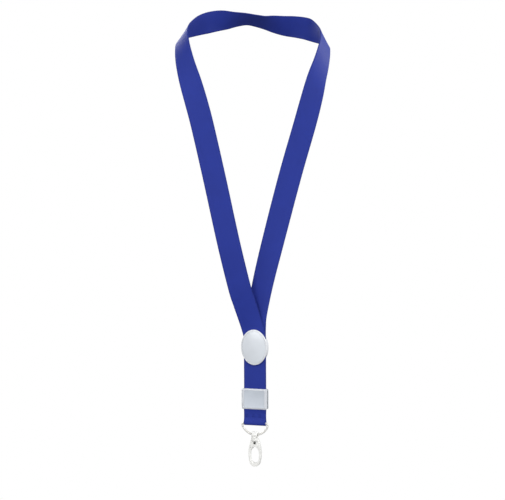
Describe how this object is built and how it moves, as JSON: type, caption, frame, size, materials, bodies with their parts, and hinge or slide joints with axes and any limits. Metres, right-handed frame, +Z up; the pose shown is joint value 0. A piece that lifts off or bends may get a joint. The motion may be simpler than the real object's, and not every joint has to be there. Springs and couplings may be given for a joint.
{
  "type": "lanyard",
  "caption": "Neck lanyard of flat blue webbing with an oval slider, a detachable buckle, a D-ring and a swivel snap hook.",
  "frame": {"origin": "middle of the strap where it rests on the back of the neck", "axes": "+X to the wearer's left, -Y away from the wearer, +Z up, with the lanyard hanging as it is worn"},
  "size_m": [0.132, 0.0966, 0.4095],
  "materials": {
    "webbing": "satin",
    "thread": "matte",
    "slider_plastic": "gloss",
    "label": "satin",
    "buckle_plastic": "satin",
    "crimp_metal": "satin",
    "ring_plastic": "gloss",
    "hook_plastic": "gloss",
    "rivet_metal": "satin",
    "spring_steel": "satin"
  },
  "bodies": {
    "strap": {"neck_strap": "webbing", "buckle_front": "buckle_plastic", "buckle_rear": "buckle_plastic", "strap_end_crimp": "crimp_metal"},
    "slider": {"slider_front": "slider_plastic", "slider_label": "label", "slider_rear": "slider_plastic"},
    "plug": {"buckle_plug": "buckle_plastic", "lower_strap": "webbing", "loop_stitches": "thread"},
    "ring": {"d_ring": "ring_plastic"},
    "eye": {"swivel_eye": "hook_plastic"},
    "hook": {"hook_body": "hook_plastic", "gate_rivet": "rivet_metal", "gate_spring": "spring_steel"},
    "gate": {"hook_gate": "hook_plastic"}
  },
  "joints": [
    {"name": "slider_slide", "type": "slide", "parent": "strap", "child": "slider", "axis": [0, 0, 1], "range_m": [-0.02, 0]},
    {"name": "buckle_pull", "type": "slide", "parent": "strap", "child": "plug", "axis": [0, 0, -1], "range_m": [0, 0.014]},
    {"name": "ring_swing", "type": "hinge", "parent": "plug", "child": "ring", "pos_m": [0, -0.06, -0.3645], "axis": [1, 0, 0], "range_deg": [-80, 80]},
    {"name": "eye_swing", "type": "hinge", "parent": "ring", "child": "eye", "pos_m": [0, -0.06, -0.3746], "axis": [1, 0, 0], "range_deg": [-60, 60]},
    {"name": "hook_swivel", "type": "hinge", "parent": "eye", "child": "hook", "pos_m": [0, -0.06, -0.3775], "axis": [0, 0, 1], "continuous": true},
    {"name": "gate_open", "type": "hinge", "parent": "hook", "child": "gate", "pos_m": [0, -0.06, -0.3816], "axis": [0, -1, 0], "range_deg": [0, 21], "stiffness_Nm_per_rad": 0.02, "springref_deg": -11.46, "deforming": ["gate_spring"]}
  ]
}
